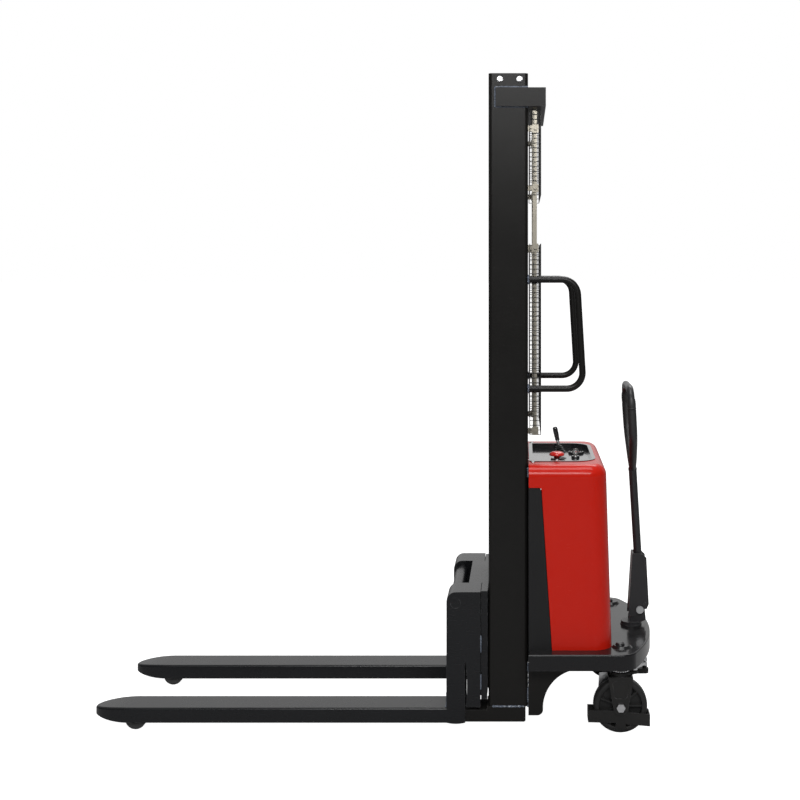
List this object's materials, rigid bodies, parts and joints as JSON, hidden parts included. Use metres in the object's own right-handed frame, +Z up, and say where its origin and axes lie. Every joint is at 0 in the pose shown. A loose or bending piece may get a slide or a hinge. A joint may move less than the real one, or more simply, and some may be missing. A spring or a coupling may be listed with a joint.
{
  "type": "pedestrian stacker",
  "caption": "Hand-pushed stacker with straddle legs, fork carriage on a fixed twin-channel mast, red power unit cover, steering tiller and push handles.",
  "frame": {"origin": "floor level, centre of the truck's outline, under the forks' heels", "axes": "+Z up, forks point to -X, the operator stands at +X, +Y is the side away from the near fork"},
  "size_m": [1.784, 0.694, 2.074],
  "materials": {
    "mast_paint": "gloss black enamel",
    "carriage_paint": "gloss black enamel",
    "deck_paint": "high gloss black",
    "caster_paint": "satin black",
    "guard_wire": "satin black",
    "zinc_plate": "bright zinc plate",
    "chrome_rod": "hard chrome",
    "cylinder_paint": "black enamel",
    "chain_steel": "oiled steel",
    "cover_red": "gloss orange-red",
    "cowl_black": "fine texture",
    "panel_black": "gloss",
    "boot_rubber": "matt",
    "stop_red": "gloss",
    "tiller_paint": "satin black",
    "wheel_nylon": "satin black",
    "roller_urethane": "satin",
    "roller_steel": "ground steel"
  },
  "bodies": {
    "root": {"leg_near": "mast_paint", "leg_far": "mast_paint", "mast_channel_near": "mast_paint", "mast_channel_far": "mast_paint", "mast_top_beam": "mast_paint", "cross_beams": "mast_paint", "gusset_plates": "mast_paint", "fasteners": "zinc_plate", "lift_cylinder": "cylinder_paint", "chain_rear": "chain_steel", "platform": "deck_paint", "rear_beam": "mast_paint", "caster_kingpins": "zinc_plate", "steering_bearing": "tiller_paint", "power_cover": "cover_red", "front_cowl": "cowl_black", "control_panel": "panel_black", "joystick_boot": "boot_rubber", "panel_fittings": "panel_black", "battery": "cowl_black", "oil_tank": "cylinder_paint", "pump_motor": "cylinder_paint", "push_handle_near": "mast_paint", "push_handle_far": "mast_paint", "guard_posts": "zinc_plate", "guard_mesh_upper": "guard_wire", "guard_mesh_lower": "guard_wire"},
    "carriage": {"carriage_frame": "carriage_paint", "fork_near": "carriage_paint", "fork_far": "carriage_paint", "fork_shaft": "carriage_paint", "chain_front": "chain_steel"},
    "rollers_lower": {"carriage_rollers_lower": "roller_steel"},
    "rollers_upper": {"carriage_rollers_upper": "roller_steel"},
    "piston": {"piston_rod": "chrome_rod", "sheave_yoke": "carriage_paint", "chain_wrap": "chain_steel"},
    "sheave": {"chain_sheave": "chain_steel"},
    "steering": {"tiller_clevis": "tiller_paint", "steering_crank": "caster_paint", "tiller_pivot_bolt": "zinc_plate"},
    "tiller": {"tiller_bracket": "tiller_paint", "tiller_stick": "tiller_paint", "tiller_loop": "tiller_paint", "tiller_grips": "boot_rubber"},
    "link_near": {"tie_rod_near": "zinc_plate"},
    "link_far": {"tie_rod_far": "zinc_plate"},
    "caster_near": {"caster_fork_near": "caster_paint", "foot_guard_near": "caster_paint", "caster_axle_near": "zinc_plate"},
    "caster_far": {"caster_fork_far": "caster_paint", "foot_guard_far": "caster_paint", "caster_axle_far": "zinc_plate"},
    "wheel_near": {"caster_wheel_near": "wheel_nylon"},
    "wheel_far": {"caster_wheel_far": "wheel_nylon"},
    "load_wheel_near": {"load_roller_near": "roller_urethane"},
    "load_wheel_far": {"load_roller_far": "roller_urethane"},
    "joystick": {"joystick_lever": "panel_black"},
    "stop": {"stop_button": "stop_red"},
    "key": {"ignition_key": "zinc_plate"}
  },
  "joints": [
    {"name": "carriage_lift", "type": "slide", "parent": "root", "child": "carriage", "axis": [0, 0, 1], "range_m": [0, 1.6], "deforming": ["chain_front"]},
    {"name": "piston_stroke", "type": "slide", "parent": "root", "child": "piston", "axis": [0, 0, 1], "range_m": [0, 0.8], "deforming": ["chain_rear"]},
    {"name": "sheave_spin", "type": "hinge", "parent": "piston", "child": "sheave", "pos_m": [0.44, 0, 1.2], "axis": [0, 1, 0], "range_deg": [-5, 1215]},
    {"name": "lower_roller_spin", "type": "hinge", "parent": "carriage", "child": "rollers_lower", "pos_m": [0.4225, 0, 0.165], "axis": [0, 1, 0], "continuous": true},
    {"name": "upper_roller_spin", "type": "hinge", "parent": "carriage", "child": "rollers_upper", "pos_m": [0.4225, 0, 0.385], "axis": [0, 1, 0], "continuous": true},
    {"name": "tiller_steer", "type": "hinge", "parent": "root", "child": "steering", "pos_m": [0.832, 0, 0.2], "axis": [0, 0, 1], "range_deg": [-45, 45]},
    {"name": "tiller_tilt", "type": "hinge", "parent": "steering", "child": "tiller", "pos_m": [0.859, 0, 0.32], "axis": [0, 1, 0], "range_deg": [0, 75]},
    {"name": "link_near_turn", "type": "hinge", "parent": "steering", "child": "link_near", "pos_m": [0.878, 0, 0.13], "axis": [0, 0, 1], "range_deg": [-45, 45]},
    {"name": "link_far_turn", "type": "hinge", "parent": "steering", "child": "link_far", "pos_m": [0.878, 0, 0.145], "axis": [0, 0, 1], "range_deg": [-45, 45]},
    {"name": "caster_near_steer", "type": "hinge", "parent": "root", "child": "caster_near", "pos_m": [0.775, -0.265, 0.18], "axis": [0, 0, 1], "range_deg": [-45, 45]},
    {"name": "wheel_near_roll", "type": "hinge", "parent": "caster_near", "child": "wheel_near", "pos_m": [0.775, -0.265, 0.085], "axis": [0, 1, 0], "continuous": true},
    {"name": "load_wheel_near_roll", "type": "hinge", "parent": "root", "child": "load_wheel_near", "pos_m": [-0.757, -0.215, 0.033], "axis": [0, 1, 0], "continuous": true},
    {"name": "caster_far_steer", "type": "hinge", "parent": "root", "child": "caster_far", "pos_m": [0.775, 0.265, 0.18], "axis": [0, 0, 1], "range_deg": [-45, 45]},
    {"name": "wheel_far_roll", "type": "hinge", "parent": "caster_far", "child": "wheel_far", "pos_m": [0.775, 0.265, 0.085], "axis": [0, 1, 0], "continuous": true},
    {"name": "load_wheel_far_roll", "type": "hinge", "parent": "root", "child": "load_wheel_far", "pos_m": [-0.757, 0.215, 0.033], "axis": [0, 1, 0], "continuous": true},
    {"name": "joystick_tilt", "type": "hinge", "parent": "root", "child": "joystick", "pos_m": [0.596, 0.025, 0.83], "axis": [0, 1, 0], "range_deg": [-12, 12], "stiffness_Nm_per_rad": 0.8, "deforming": ["joystick_boot"]},
    {"name": "stop_press", "type": "slide", "parent": "root", "child": "stop", "axis": [0, 0, -1], "range_m": [0, 0.006]},
    {"name": "key_turn", "type": "hinge", "parent": "root", "child": "key", "pos_m": [0.644, -0.03, 0.84], "axis": [0, 0, -1], "range_deg": [0, 90]}
  ],
  "couplings": [
    {"joint": "piston_stroke", "follows": "carriage_lift", "ratio": 0.5},
    {"joint": "sheave_spin", "follows": "carriage_lift", "rad_per_m": 13.158},
    {"joint": "link_near_turn", "follows": "tiller_steer", "ratio": -1},
    {"joint": "link_far_turn", "follows": "tiller_steer", "ratio": -1},
    {"joint": "caster_near_steer", "follows": "tiller_steer", "ratio": 1},
    {"joint": "caster_far_steer", "follows": "tiller_steer", "ratio": 1}
  ]
}
